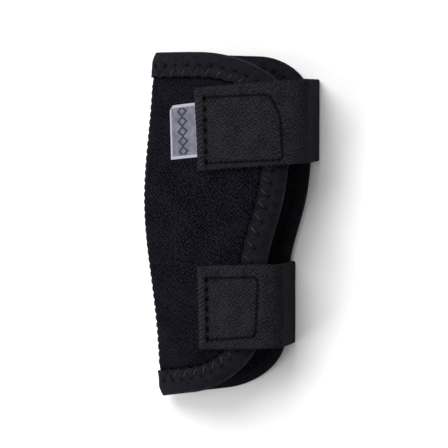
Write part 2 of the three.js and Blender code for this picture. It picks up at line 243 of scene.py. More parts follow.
class Strap:
    """A strap's middle surface, by distance from its tip and place across its width."""

    def __init__(self, name):
        design = STRAPS[name]
        self.name, self.tilt, self.patch = name, design["tilt"], design["patch"]
        self.tip_x, self.tip_y = design["tip"]
        radius = ARCH_RADIUS + WEBBING_MIDDLE
        tip_heading = math.asin((ARCH_X - self.tip_x) / radius)
        bend_heading = math.asin((ARCH_X + BEND_TOP - design["rise"]) / (radius - BEND_TOP))
        self.flap = radius * (tip_heading - bend_heading)
        top_z = ARCH_Z + radius * math.cos(bend_heading)
        rise = top_z - BEND_TOP * math.cos(bend_heading) - BEND_BOTTOM - WEBBING_THICKNESS / 2
        self.path = TangentPath(self.tip_x, ARCH_Z + radius * math.cos(tip_heading), tip_heading, [
            (self.flap, bend_heading - tip_heading),
            (BEND_TOP * (bend_heading + QUARTER), -bend_heading - QUARTER),
            (rise, 0.0),
            (BEND_BOTTOM * QUARTER, -QUARTER),
            (200.0, 0.0)])
        self.rise_start = self.flap + BEND_TOP * (bend_heading + QUARTER)
        self.rise_middle = self.rise_start + rise / 2
        self.round = self.rise_start + rise + BEND_BOTTOM * QUARTER
        self.end = self.round + design["sewn"]
        low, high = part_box(f"{name}_anchor_thread")
        turn_x = float(self.path.at(self.round)[0])
        self.anchor = (self.round + turn_x - high[0] / MM, self.round + turn_x - low[0] / MM)

    def sag(self, distance):
        """The flap settles onto the panel where no binding lies under it."""
        hem = self.flap - 13.0
        return 0.9 * (1 - smoothstep(hem - 8.0, hem, distance))

    def lay(self, along, across, n):
        """along is measured from the tip's own edge, which is cut square to the tilted strap."""
        start = -across * math.sin(self.tilt)
        distance = along + start
        x, z, heading = self.path.at(distance)
        n = n - self.sag(distance)
        y = self.tip_y + across * math.cos(self.tilt) + along * math.tan(self.tilt)
        x, z = x - n * np.sin(heading), z + n * np.cos(heading)
        return np.stack(np.broadcast_arrays(x, y, z), axis=-1)


# ---- Meshes --------------------------------------------------------------------------------------


def make_object(name, vertices, faces, material, uv, sharp, shade=None):
    """A smooth-shaded mesh from points in millimetres, with flat lengths in its UV map.

    shade is 0 to 1 at each point: how much painted shade darkens the cloth's colour there.
    """
    mesh = bpy.data.meshes.new(name)
    mesh.from_pydata((vertices * MM).tolist(), [], faces)
    layer = mesh.uv_layers.new(name="flat")
    corners = np.empty(len(mesh.loops), dtype=np.int32)
    mesh.loops.foreach_get("vertex_index", corners)
    layer.data.foreach_set("uv", (uv[corners] / 100).astype(np.float32).ravel())
    if shade is not None:
        held = mesh.attributes.new("shade", "FLOAT", "POINT")
        held.data.foreach_set("value", np.clip(shade, 0, 1).astype(np.float32).ravel())
    mesh.shade_smooth()
    mesh.set_sharp_from_angle(angle=math.radians(sharp))
    mesh.materials.append(material)
    mesh.update()
    obj = bpy.data.objects.new(name, mesh)
    bpy.context.scene.collection.objects.link(obj)
    return obj


def faces_inward(rings):
    """Whether a loft of rings, shape (rows, columns, 3), has its quads turned inwards."""
    points = rings - rings.reshape(-1, 3).mean(axis=0)
    a, b = points[:-1], np.roll(points, -1, axis=1)[:-1]
    c, d = np.roll(points, -1, axis=1)[1:], points[1:]
    return np.sum(a * np.cross(b, c)) + np.sum(a * np.cross(c, d)) < 0


def ring_faces(rows, columns, flip, offset=0):
    """Faces of a closed loft of rings, row by row, with a cap at each end."""
    i, j = np.meshgrid(np.arange(rows - 1), np.arange(columns), indexing="ij")
    k = (j + 1) % columns
    here, ahead = i * columns, (i + 1) * columns
    quads = np.stack([here + j, here + k, ahead + k, ahead + j], -1).reshape(-1, 4) + offset
    if flip:
        quads = quads[:, ::-1]
    faces = quads.tolist()
    first = list(range(offset, offset + columns))
    last = list(range(offset + (rows - 1) * columns, offset + rows * columns))
    faces.append(first if flip else first[::-1])
    faces.append(last[::-1] if flip else last)
    return faces


def attach(piece, body, slot, *nodes):
    """A piece moves with a body and stands for the CAD nodes named; slot is not used."""
    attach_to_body(piece, body)
    if nodes:
        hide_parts(*nodes)


def loft(name, rings, material, uv, sharp, shade=None):
    """A closed solid through rings of points, shape (rows, columns, 3)."""
    faces = ring_faces(*rings.shape[:2], flip=faces_inward(rings))
    return make_object(name, rings.reshape(-1, 3), faces, material, uv.reshape(-1, 2), sharp, shade)


def threads(name, paths, ups, radius, material, sides=6):
    """Many short threads in one piece: paths has the shape (threads, points, 3), and so has ups."""
    count, steps = paths.shape[:2]
    tangents = np.gradient(paths, axis=1)
    tangents /= np.linalg.norm(tangents, axis=-1, keepdims=True)
    right = np.cross(tangents, ups)
    right /= np.linalg.norm(right, axis=-1, keepdims=True)
    up = np.cross(right, tangents)
    angles = np.arange(sides) * TAU / sides
    taper = np.ones(steps)
    taper[[0, -1]] = 0.45
    size = (radius * taper)[None, :, None, None]
    rings = paths[:, :, None, :] + size * (
        np.cos(angles)[None, None, :, None] * right[:, :, None, :]
        + np.sin(angles)[None, None, :, None] * up[:, :, None, :])
    flip = faces_inward(rings[0])
    faces = []
    for i in range(count):
        faces += ring_faces(steps, sides, flip, offset=i * steps * sides)
    flat = np.zeros((count, steps, sides, 2))
    lengths = lengths_along(paths[0])
    flat[..., 0] = lengths[None, :, None] + STITCH_STEP * np.arange(count)[:, None, None]
    flat[..., 1] = (np.arange(sides) * TAU * radius / sides)[None, None, :]
    return make_object(name, rings.reshape(-1, 3), faces, material, flat.reshape(-1, 2), 60)


# ---- Materials -----------------------------------------------------------------------------------


class Fabric:
    """A procedural material whose pattern is drawn in flat millimetres from the UV map."""

    def __init__(self, name, roughness, specular, sheen=0.0, sheen_roughness=0.5, tint=(1, 1, 1)):
        self.material = bpy.data.materials.new(name)
        self.material.use_nodes = True
        self.nodes, self.links = self.material.node_tree.nodes, self.material.node_tree.links
        self.surface = self.nodes["Principled BSDF"]
        for socket, value in {
            "Roughness": roughness, "Specular IOR Level": specular, "Sheen Weight": sheen,
            "Sheen Roughness": sheen_roughness, "Sheen Tint": (*tint, 1.0),
        }.items():
            self.surface.inputs[socket].default_value = value
        place = self.nodes.new("ShaderNodeUVMap")
        place.uv_map = "flat"
        scaled = self.nodes.new("ShaderNodeVectorMath")
        scaled.operation = "SCALE"
        scaled.inputs["Scale"].default_value = 100.0
        self.links.new(place.outputs["UV"], scaled.inputs[0])
        split = self.nodes.new("ShaderNodeSeparateXYZ")
        self.links.new(scaled.outputs[0], split.inputs[0])
        self.place, self.u, self.v = scaled.outputs[0], split.outputs["X"], split.outputs["Y"]

    def put(self, socket, value):
        if isinstance(value, bpy.types.NodeSocket):
            self.links.new(value, socket)
        else:
            socket.default_value = value

    def math(self, operation, *values, clamp=False):
        node = self.nodes.new("ShaderNodeMath")
        node.operation, node.use_clamp = operation, clamp
        for socket, value in zip(node.inputs, values):
            self.put(socket, value)
        return node.outputs[0]

    def add(self, a, b, clamp=False):
        return self.math("ADD", a, b, clamp=clamp)

    def times(self, a, b, clamp=False):
        return self.math("MULTIPLY", a, b, clamp=clamp)

    def scaled(self, value, gain, start):
        """gain times a value, plus start."""
        return self.math("MULTIPLY_ADD", value, gain, start)

    def above(self, value, low, gain, clamp=False):
        """gain times what a value has over low."""
        return self.times(self.math("SUBTRACT", value, low), gain, clamp)

    def wave(self, length, pitch):
        """0 to 1 and back over each pitch of a length."""
        return self.scaled(self.math("SINE", self.times(length, TAU / pitch)), 0.5, 0.5)

    def noise(self, size, detail=3.0, rough=0.6, stretch=(1, 1, 1)):
        """0 to 1 noise whose grains are about size millimetres."""
        mapping = self.nodes.new("ShaderNodeVectorMath")
        mapping.operation = "MULTIPLY"
        self.links.new(self.place, mapping.inputs[0])
        mapping.inputs[1].default_value = tuple(s / size for s in stretch)
        node = self.nodes.new("ShaderNodeTexNoise")
        node.inputs["Scale"].default_value = 1.0
        node.inputs["Detail"].default_value = detail
        node.inputs["Roughness"].default_value = rough
        self.links.new(mapping.outputs[0], node.inputs["Vector"])
        return node.outputs["Fac"]

    def mix(self, factor, a, b):
        node = self.nodes.new("ShaderNodeMix")
        node.data_type = "RGBA"
        self.put(node.inputs["Factor"], factor)
        for socket, colour in (("A", a), ("B", b)):
            sockets = [s for s in node.inputs if s.name == socket and s.type == "RGBA"]
            self.put(sockets[0], (*colour, 1.0) if isinstance(colour, tuple) else colour)
        return [s for s in node.outputs if s.type == "RGBA"][0]

    def finish(self, colour, relief, depth, sunk=(0.0006, 0.0006, 0.0008)):
        """Sets the colour, darkened with painted shade where the mesh's shade says, and a bump so many
        millimetres deep.
        """
        held = self.nodes.new("ShaderNodeAttribute")
        held.attribute_name = "shade"
        # painted shade: the colour goes towards sunk where the shade attribute is high
        colour = self.mix(held.outputs["Fac"], colour, sunk)
        self.links.new(colour, self.surface.inputs["Base Color"])
        bump = self.nodes.new("ShaderNodeBump")
        bump.inputs["Strength"].default_value = 1.0
        bump.inputs["Distance"].default_value = depth * MM
        self.links.new(relief, bump.inputs["Height"])
        self.links.new(bump.outputs[0], self.surface.inputs["Normal"])
        return self.material


def outer_fabric():
    """Brushed loop face with a faint uneven diagonal weave."""
    f = Fabric("outer_fabric", 0.95, 0.01, 0.016, 0.4, (0.70, 0.66, 1.0))
    wobble = f.scaled(f.noise(2.6, 3.0), 5.0, -2.5)
    rising = f.wave(f.add(f.add(f.u, f.v), wobble), 1.8)
    falling = f.wave(f.add(f.math("SUBTRACT", f.u, f.v), wobble), 2.3)
    hatch = f.scaled(rising, 0.5, f.times(falling, 0.2))
    loops = f.noise(1.0, 4.0, 0.85)
    drift = f.noise(14.0, 3.0)
    relief = f.add(f.times(hatch, 0.32), f.times(loops, 1.1))
    bright = f.above(relief, 0.56, 3.4)
    tone = f.add(bright, f.scaled(drift, 0.8, -0.4), clamp=True)
    colour = f.mix(tone, (0.0006, 0.0006, 0.0010), (0.0132, 0.0122, 0.0186))
    return f.finish(colour, relief, 0.35)


def lining_fabric():
    """Smooth knit with fine wales along the limb."""
    f = Fabric("lining_fabric", 0.9, 0.01, 0.008, 0.5, (0.85, 0.85, 1.0))
    wales = f.wave(f.u, 0.9)
    courses = f.wave(f.v, 1.1)
    grain = f.noise(0.8, 3.0)
    relief = f.add(f.times(f.times(wales, courses), 0.6), f.times(grain, 0.5))
    colour = f.mix(relief, (0.0005, 0.0005, 0.0006), (0.0042, 0.0040, 0.0050))
    return f.finish(colour, relief, 0.15)


def binding_tape():
    """Stretch tape with close cross ribs, with a highlight painted lighter along its fold."""
    f = Fabric("binding_tape", 0.72, 0.03, 0.02, 0.4, (0.85, 0.85, 1.0))
    ribs = f.wave(f.u, 0.8)
    knit = f.noise(0.75, 4.0, 0.75, (0.7, 1.5, 1))
    blotch = f.noise(3.0, 3.0, 0.6)
    relief = f.add(f.times(ribs, 0.2), f.times(knit, 0.85))
    spread = f.scaled(blotch, 1.3, -0.65)
    tone = f.add(f.above(relief, 0.31, 2.6), spread, clamp=True)
    woven = f.mix(tone, (0.0010, 0.0010, 0.0016), (0.0110, 0.0103, 0.0146))
    # painted highlight: lighter along the tape's fold, in noise patches
    off_fold = f.math("ABSOLUTE", f.add(f.v, 0.55))
    fold_highlight = f.math("SUBTRACT", 1.0, f.times(off_fold, 1.2), clamp=True)
    highlight_patches = f.above(f.noise(16.0, 2.0), 0.36, 3.0, clamp=True)
    colour = f.mix(f.times(fold_highlight, highlight_patches), woven, (0.021, 0.020, 0.026))
    return f.finish(colour, relief, 0.18)


def webbing():
    """Herringbone webbing: chevrons in columns that run across the strap, broken into picks."""
    f = Fabric("webbing", 0.85, 0.015, 0.006, 0.45, (0.95, 0.95, 1.0))
    wobble = f.scaled(f.noise(2.0, 3.0), 3.2, -1.6)
    fold = f.math("PINGPONG", f.add(f.u, 200.0), 7.0)
    chevrons = f.wave(f.add(f.scaled(fold, 0.7, f.v), wobble), 1.65)
    staggered = f.add(f.u, f.times(f.v, 0.5))
    picks = f.wave(f.add(staggered, wobble), 1.5)
    fuzz = f.noise(0.9, 4.0, 0.85)
    woven = f.times(f.scaled(picks, 0.8, 0.2), chevrons)
    relief = f.add(f.times(woven, 0.33), f.times(fuzz, 0.98))
    drift = f.scaled(f.noise(9.0, 3.0), 0.8, -0.4)
    tone = f.add(f.above(relief, 0.39, 2.5), drift, clamp=True)
    colour = f.mix(tone, (0.0026, 0.0025, 0.0034), (0.0224, 0.0214, 0.0266))
    return f.finish(colour, relief, 0.34)


def thread_material(name, dark, light, specular, glint=None):
    """Twisted thread: slanting plies along its length. glint brightens the far end of each stitch."""
    f = Fabric(name, 0.55, specular, 0.02, 0.4, (0.95, 0.95, 1.0))
    plies = f.wave(f.add(f.u, f.v), 0.55)
    colour = f.mix(plies, dark, light)
    if glint:
        place = f.math("MODULO", f.u, 2 * STITCH_STEP)
        near_end = f.above(place, 1.6, 0.9, clamp=True)
        every_other = f.math("LESS_THAN", place, STITCH_STEP)
        patchy = f.above(f.noise(9.0, 2.0), 0.34, 3.2, clamp=True)
        colour = f.mix(f.times(f.times(near_end, every_other), patchy), colour, glint)
    return f.finish(colour, plies, 0.06)


def foam_rubber():
    f = Fabric("foam_rubber", 0.95, 0.1)
    cells = f.noise(0.4, 4.0, 0.7)
    colour = f.mix(cells, (0.002, 0.002, 0.0025), (0.008, 0.008, 0.009))
    return f.finish(colour, cells, 0.12)


def hook_plastic():
    f = Fabric("hook_plastic", 0.42, 0.3)
    mottle = f.noise(1.2, 2.0)
    colour = f.mix(mottle, (0.004, 0.004, 0.0045), (0.010, 0.010, 0.011))
    return f.finish(colour, mottle, 0.05)


def tag_satin():
    """Satin label with a lighter woven border and a plain row of open diamonds."""
    f = Fabric("tag_satin", 0.5, 0.1, 0.02, 0.35)
    weft = f.wave(f.v, 0.42)
    warp = f.wave(f.u, 0.36)
    smudge = f.scaled(f.noise(4.0, 4.0), 1.5, -0.85)
    cloth = f.add(f.times(weft, 0.6), f.times(warp, 0.4))
    soiled = f.add(cloth, smudge, clamp=True)
    ground = f.mix(soiled, (0.055, 0.055, 0.075), (0.215, 0.213, 0.265))
    from_middle_u = f.math("ABSOLUTE", f.add(f.u, 0.4))
    from_middle_v = f.math("ABSOLUTE", f.v)
    side_border = f.math("GREATER_THAN", f.math("ABSOLUTE", f.u), TAG_OUT / 2 - 1.2)
    end_border = f.math("GREATER_THAN", from_middle_v, TAG_WIDTH / 2 - 1.3)
    border = f.math("MAXIMUM", side_border, end_border)
    edged = f.mix(border, ground, (0.30, 0.30, 0.35))
    step = f.math("PINGPONG", f.add(f.v, 92.0), 2.3)
    out_from_centre = f.add(from_middle_u, f.times(step, 1.3))
    ring = f.math("COMPARE", out_from_centre, 2.7, 0.85)
    inside = f.math("LESS_THAN", from_middle_v, 10.8)
    colour = f.mix(f.times(ring, inside), edged, (0.030, 0.030, 0.045))
    return f.finish(colour, cloth, 0.05)


OUTER = outer_fabric()
LINING = lining_fabric()
BINDING = binding_tape()
WEBBING = webbing()
FOAM = foam_rubber()
HOOKS = hook_plastic()
TAG = tag_satin()
HEM_THREAD = thread_material("hem_thread", (0.0035, 0.0034, 0.0045), (0.013, 0.0125, 0.016), 0.15,
                             (0.044, 0.043, 0.052))
INNER_THREAD = thread_material("inner_thread", (0.0020, 0.0020, 0.0025), (0.0080, 0.0078, 0.0095), 0.1)
STRAP_THREAD = thread_material("strap_thread", (0.0008, 0.0008, 0.0010), (0.0035, 0.0035, 0.0042), 0.05)
TIP_THREAD = thread_material("tip_thread", (0.008, 0.008, 0.0095), (0.034, 0.033, 0.038), 0.1)
FIBRE = thread_material("loose_fibre", (0.03, 0.03, 0.033), (0.10, 0.10, 0.11), 0.1)

# ---- Panels --------------------------------------------------------------------------------------


def bell(distance, reach):
    return np.exp(-((distance / reach) ** 2))


def edge_depth(side, s, y):
    """How far points of a flat panel lie inside its free edge."""
    best = np.full(s.shape, np.inf)
    for edge_s, edge_y in OUTLINES[side].points[::6]:
        best = np.minimum(best, (s - edge_s) ** 2 + (y - edge_y) ** 2)
    return np.sqrt(best)


def squeeze(depth):
    """How much of its thickness the laminate keeps under the tight tape, from the free edge inwards."""
    return 1 - SQUEEZE * (1 - smoothstep(0.0, SQUEEZE_REACH, depth))


def panel_rows(outline):
    """Rows of a panel, as their free-edge points: every millimetre, closer round the corners."""
    side_start, side_end = outline.side_ends
    heights = outline.points[:, 1]
    low_start = outline.lengths[np.argmax(heights > -HALF_LENGTH)]
    high_end = outline.lengths[np.argmax(heights >= HALF_LENGTH)]
    low = np.linspace(low_start, side_start, 34)
    middle = np.linspace(side_start, side_end, 100)
    high = np.linspace(side_end, high_end, 34)
    return outline.at(np.concatenate([low, middle[1:-1], high]), 0.0)


def panel_solid(name, side, bottom, top, material, seed, dent):
    """One layer of a panel as a closed solid. dent pulls it in under the binding and at the seam."""
    edge_s, edge_y = panel_rows(OUTLINES[side])
    across = np.linspace(0, 1, PANEL_COLUMNS) ** 1.25
    s = np.maximum(across[None, :] * edge_s[:, None], 0.06)
    y = np.broadcast_to(edge_y[:, None], s.shape)
    depth = edge_depth(side, s, y)
    sway = 0.16 * waves(s, y, seed) * smoothstep(10.5, 16.0, depth)
    press = dent * ((1 - smoothstep(10.6, 13.2, depth)) + 0.5 * bell(s, 1.0))
    over = lay(side, s, y, (top + sway - press * np.sign(top)) * squeeze(depth))
    under = lay(side, s, y, (bottom + sway * 0.8 - press * np.sign(top)) * squeeze(depth))
    flat = np.stack([s, y], -1)
    # painted shade: a dark line on the panel just inside the binding's inner edge
    held = 0.9 * bell(depth - 11.2, 0.8)
    return loft(name, there_and_back(over, under), material, there_and_back(flat, flat), 40,
                there_and_back(held, held))


def needle_phase(length):
    """Distance along the edge to the nearest outer needle point, and to the nearest inner one."""
    outer = (length + ZIGZAG_PITCH / 2) % ZIGZAG_PITCH - ZIGZAG_PITCH / 2
    inner = length % ZIGZAG_PITCH - ZIGZAG_PITCH / 2
    return outer, inner


def stitch_depth(length):
    """Depth of the zigzag below each place on the edge."""
    path = np.abs((length / ZIGZAG_PITCH) % 1 - 0.5) * 2
    return NEEDLE_INNER + (NEEDLE_OUTER - NEEDLE_INNER) * path


def tape_relief(length, depth, seed):
    """Height of the stitched face of the binding over its plain face."""
    outer, inner = needle_phase(length)
    roll = 0.34 * bell(depth - 2.4, 2.1)
    holes = 0.62 * bell(np.hypot(outer, depth - NEEDLE_OUTER), 0.62)
    pull = 0.22 * bell(np.hypot(outer * 0.7, depth - NEEDLE_OUTER), 1.9)
    ends = 0.30 * bell(np.hypot(inner, depth - NEEDLE_INNER), 0.75)
    lip = 0.22 * smoothstep(9.0, 10.8, depth) * (1 - bell(inner, 1.4))
    furrow = 0.16 * bell(depth - stitch_depth(length), 0.6)
    sway = 0.09 * waves(length, depth * 2, seed, 17.0)
    return roll - holes - pull - ends + lip - furrow + sway


def fold_drop(depth):
    """How much lower the tape's faces lie as they come to its fold."""
    return FOLD_DROP * (1 - smoothstep(-0.2, 1.3, depth))


def hem_shade(length, depth):
    """Shadow held at the needle holes and along the zigzag."""
    outer, inner = needle_phase(length)
    held = bell(np.hypot(outer, depth - NEEDLE_OUTER), 1.1)
    held = np.maximum(held, 0.55 * bell(np.hypot(inner, depth - NEEDLE_INNER), 0.7))
    furrow = 0.35 * bell(depth - stitch_depth(length), 0.6) * smoothstep(6.0, 7.0, depth)
    return np.maximum(held, furrow)


def binding_solid(name, side, seed):
    """The tape folded over a panel's free edge, as one solid with a core hidden inside the panel."""
    outline = OUTLINES[side]
    length = np.linspace(0.0, outline.total, 560)[:, None]
    rim = BINDING_WIDTH + 0.35 * np.cos(needle_phase(length)[1] / ZIGZAG_PITCH * TAU) - 0.2
    over_depth = np.linspace(1.0, 0.0, 26)[None, :] ** 1.1 * rim
    over_n = BINDING_FACE + tape_relief(length, over_depth, seed) - fold_drop(over_depth)

    rounds = np.linspace(0, math.pi, 9)[None, 1:-1]
    turn_depth = -0.85 * np.sin(rounds) + 0 * length
    turn_n = ((over_n[:, -1:] + BINDING_FACE) / 2 - 0.3) * np.cos(rounds)

    back_depth = np.linspace(0.0, 1.0, 26)[None, :] * (BINDING_WIDTH - 0.4) + 0 * length
    back_relief = INNER_PUCKER * tape_relief(length, back_depth, seed + 5)
    back_n = -(BINDING_FACE - 0.1 + back_relief - fold_drop(back_depth))

    core_depth = np.linspace(BINDING_WIDTH - 0.5, -0.25, 6)[None, :] + 0 * length
    core_n = FACE - 0.1 + 0 * core_depth
    depth = np.concatenate([over_depth, turn_depth, back_depth, core_depth, core_depth[:, ::-1]], axis=1)
    n = np.concatenate([over_n, turn_n, back_n, -core_n, core_n], axis=1)
    s, y = outline.at(length + 0 * depth, depth)
    rings = lay(side, s, y, n * squeeze(depth))
    girth = np.concatenate(
        [over_depth, turn_depth, -1.7 - back_depth, 20 + core_depth, 40 + core_depth], axis=1)
    uv = np.stack(np.broadcast_arrays(length, girth), -1)
    return loft(name, rings, BINDING, uv, 55, hem_shade(length, depth))


def hem_stitches(name, side, face, seed):
    """The zigzag thread over a binding: face 1 is outside, face -1 is inside."""
    outline = OUTLINES[side]
    half_pitch = ZIGZAG_PITCH / 2
    count = np.round(np.arange(HEM_START, outline.total - HEM_START, half_pitch) / half_pitch)
    knots = count * half_pitch
    depths = np.where(count % 2 == 0, NEEDLE_OUTER, NEEDLE_INNER)
    share = np.linspace(0, 1, 9)[None, :]
    outward = (depths[:-1] == NEEDLE_OUTER)[:, None]
    share = np.where(outward, share, 1 - share)
    length = knots[:-1, None] * (1 - share) + knots[1:, None] * share
    depth = depths[:-1, None] * (1 - share) + depths[1:, None] * share
    rise = 0.16 * np.sin(math.pi * share) ** 0.5 - 0.12
    relief_seed, pucker = (seed, 1.0) if face > 0 else (seed + 5, INNER_PUCKER)
    relief = pucker * tape_relief(length, depth, relief_seed)
    height = face * (BINDING_FACE + relief + rise) * squeeze(depth)
    s, y = outline.at(length, depth)
    paths = lay(side, s, y, height)
    ups = lay(side, s, y, height + face) - paths
    return threads(name, paths, ups, 0.22, HEM_THREAD if face > 0 else INNER_THREAD)


def seam_stitches(name, face, reach):
    """The zigzag thread that joins the two panels' front edges edge to edge."""
    y = np.arange(-SEAM_END, SEAM_END, SEAM_PITCH / 2)
    share = np.linspace(-1, 1, 11)
    places = np.linspace(0, 1, 11)
    n = face * (FACE + SEAM_LIFT + 0.14 * np.sin(math.pi * places) ** 0.5 - 0.1)
    paths, ups = [], []
    for i in range(len(y) - 1):
        s = reach * share * (1 if i % 2 == 0 else -1)
        at_y = y[i] * (1 - places) + y[i + 1] * places
        near, far = (lay(side, np.abs(s), at_y, n) for side in ("near", "far"))
        near_above, far_above = (lay(side, np.abs(s), at_y, n + face) for side in ("near", "far"))
        on_near = (s > 0)[:, None]
        paths.append(np.where(on_near, near, far))
        ups.append(np.where(on_near, near_above - near, far_above - far))
    return threads(name, np.array(paths), np.array(ups), 0.24, HEM_THREAD if face > 0 else INNER_THREAD)


LAYERS = {
    "outer": (FACE - FABRIC, FACE, OUTER, 0.30, "outer_fabric"),
    "foam": (FABRIC - FACE, FACE - FABRIC, FOAM, 0.0, "foam"),
    "lining": (FABRIC - FACE, -FACE, LINING, 0.30, "lining"),
}

for side, seed in (("near", 3), ("far", 4)):
    outline = OUTLINES[side]
    for layer, (bottom, top, material, dent, slot) in LAYERS.items():
        piece = panel_solid(f"{layer}_layer_{side}", side, bottom, top, material, seed, dent)
        attach(piece, BODY, slot, f"{layer}_{side}")
        if layer == "foam":
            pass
        else:
            outline.cut_size()
            outline.area()
    tape = binding_solid(f"edge_binding_{side}", side, seed + 20)
    attach(tape, BODY, "binding", f"binding_{side}")
    outside = hem_stitches(f"hem_stitches_outside_{side}", side, 1, seed + 20)
    attach(outside, BODY, "thread", f"hem_thread_{side}")
    inside = hem_stitches(f"hem_stitches_inside_{side}", side, -1, seed + 20)
    attach(inside, BODY, "thread")

attach(seam_stitches("front_seam_stitches", 1, 2.3), BODY, "thread", "front_seam_thread")
attach(seam_stitches("front_seam_stitches_inside", -1, 1.8), BODY, "thread")

# ---- Straps --------------------------------------------------------------------------------------


def spaced(low, high, coarse, fine, features, reach):
    """Values from low to high, fine near the features and coarse elsewhere."""
    values = [low]
    while values[-1] < high:
        gap = min((abs(values[-1] - f) for f in features), default=1e9)
        values.append(values[-1] + fine + (coarse - fine) * min(1, max(0, gap - reach) / 1.5))
    values = np.array(values)
    return low + (values - low) * (high - low) / (values[-1] - low)


def box_path(strap):
    """Points of the box line from the bottom left round to the top left, its inner corners rounded."""
    corners = np.array(BOX_LINES[strap.name])
    points = [corners[0]]
    for before, here, after in zip(corners, corners[1:], corners[2:]):
        arrive = here + BOX_CORNER * (before - here) / np.linalg.norm(before - here)
        leave = here + BOX_CORNER * (after - here) / np.linalg.norm(after - here)
        points += [(1 - t) ** 2 * arrive + 2 * t * (1 - t) * here + t * t * leave
                   for t in np.linspace(0, 1, 7)]
    points.append(corners[-1])
    return np.array(points)


def box_reach(strap):
    """Lowest and highest (along, across) of a strap's box."""
    corners = np.array(BOX_LINES[strap.name])
    return corners.min(axis=0), corners.max(axis=0)


def box_left(strap, across):
    """How far from the tip the box's left side lies."""
    corners = BOX_LINES[strap.name]
    return np.interp(across, [corners[0][1], corners[-1][1]], [corners[0][0], corners[-1][0]])


def walk(points, pitch):
    """Places at an even pitch along a line of points."""
    lengths = lengths_along(points)
    count = int(lengths[-1] / pitch)
    at = lengths[-1] * np.arange(count + 1) / count
    return np.stack([np.interp(at, lengths, points[:, i]) for i in (0, 1)], 1)


def distance_to_path(points, along, across):
    """Distance of places to a line of points, segment by segment."""
    best = np.full(np.broadcast(along, across).shape, np.inf)
    for a, b in zip(points[:-1], points[1:]):
        step = b - a
        share = ((along - a[0]) * step[0] + (across - a[1]) * step[1]) / (step @ step)
        share = np.clip(share, 0, 1)
        off = np.hypot(along - a[0] - share * step[0], across - a[1] - share * step[1])
        best = np.minimum(best, off)
    return best


def side_shade(strap, along):
    """Shadow held by the stretch of a strap that stands upright beside the opening."""
    return 0.34 * smoothstep(strap.flap + 5, strap.rise_start, along) * (
        1 - smoothstep(strap.round - 1, strap.round + 6, along))


def box_shade(strap, along, across):
    """Shadow held in the stitched grooves and needle holes of a flap."""
    line = box_path(strap)
    low, high = box_reach(strap)
    from_left = along - box_left(strap, across)
    shade = 0.55 * bell(distance_to_path(line, along, across), 0.55)
    for hole in walk(line, BOX_PITCH):
        shade = np.maximum(shade, 0.95 * bell(np.hypot(along - hole[0], across - hole[1]), 0.75))
    for hole in left_holes(strap):
        shade = np.maximum(shade, 1.3 * bell(np.hypot(from_left, (across - hole) * 0.75), 1.15))
    between_ends = (across > low[1] - 1) & (across < high[1] + 1)
    shade = np.maximum(shade, 0.45 * bell(from_left + 0.3, 1.3) * between_ends)
    return np.maximum(shade, side_shade(strap, along))


def box_relief(strap, along, across):
    """Height of a flap's top face: sunk along the box's stitches and at their holes, full inside."""
    (left, bottom), (right, top) = box_reach(strap)
    line = box_path(strap)
    from_left = along - box_left(strap, across)
    groove = 0.42 * bell(distance_to_path(line, along, across), 0.5)
    holes = 0.0
    for hole in walk(line, BOX_PITCH):
        holes = np.maximum(holes, 0.22 * bell(np.hypot(along - hole[0], across - hole[1]), 0.4))
    big = 0.0
    for hole in left_holes(strap):
        big = np.maximum(big, 0.55 * bell(np.hypot(from_left, across - hole), 0.62))
    inside = smoothstep(left, left + 4, along) * (1 - smoothstep(right - 5, right - 1, along))
    inside = inside * smoothstep(bottom, bottom + 4, across) * (1 - smoothstep(top - 4, top, across))
    margin = 0.12 * bell(along - 2.0, 1.3)
    return 0.22 * inside - groove - holes - big - 0.18 * bell(from_left, 0.7) + margin


def left_holes(strap):
    """Places across the strap of the big needle holes down the box's left side."""
    corners = BOX_LINES[strap.name]
    low, high = corners[0][1] + 0.6, corners[-1][1] - 0.6
    return np.linspace(low, high, int((high - low) / LEFT_PITCH) + 1)


def section(half_width, columns):
    """Across and height (-1 bottom to 1 top) of points round a strap's section, round at its edges."""
    turn = np.linspace(0, math.pi, 7)[1:-1]
    right = [(half_width - EDGE_ROUND + EDGE_ROUND * math.sin(a), math.cos(a)) for a in turn]
    left = [(-half_width + EDGE_ROUND - EDGE_ROUND * math.sin(a), -math.cos(a)) for a in turn]
    return np.array([(v, 1.0) for v in columns] + right + [(v, -1.0) for v in columns[::-1]] + left)


def web_section(features):
    """A strap's section, divided finely where its stitched lines run."""
    half = WEBBING_WIDTH / 2
    columns = spaced(-half + EDGE_ROUND, half - EDGE_ROUND, 0.8, 0.22, features, 0.9)
    return section(half, columns)


def webbing_piece(name, strap, rows, features, relief_top, relief_bottom, seed, shade):
    """A length of webbing as a closed solid, with relief on its two faces."""
    profile = web_section(features)
    along = rows[:, None]
    across = profile[None, :, 0] + 0 * along
    face = profile[None, :, 1] + 0 * along
    edge = np.abs(across) / (WEBBING_WIDTH / 2)
    ripple = 0.07 * np.cos(TAU * along / 1.5) + 0.10 * waves(along, 0 * along, seed, 21.0, 3)
    across = across * (1 + ripple * smoothstep(0.9, 1.0, edge) / (WEBBING_WIDTH / 2))
    height = HALF_WEB * face
    height = height + np.where(face > 0.99, relief_top(along, across), 0)
    height = height + np.where(face < -0.99, relief_bottom(along, across), 0)
    height = height + 0.10 * waves(along, across, seed + 1, 24.0, 3)
    ragged = 0.16 * waves(across * 3, face, seed + 2, 6.0, 3) * (1 - smoothstep(0.0, 1.6, along))
    rings = strap.lay(along + ragged, across, height)
    girth = np.where(face < -0.99, across + 60.0, across)
    uv = np.stack([along + 0 * across, girth], -1)
    # painted shade on the top face, where the shade function darkens the colour
    held = np.where(face > 0.99, shade(along, across), 0)
    return loft(name, rings, WEBBING, uv, 60, held)


def tip_rounding(along, across):
    """The tip's cut end is squeezed thinner by its stitches."""
    return -0.22 * (1 - smoothstep(0.0, 1.4, along)) + 0 * across


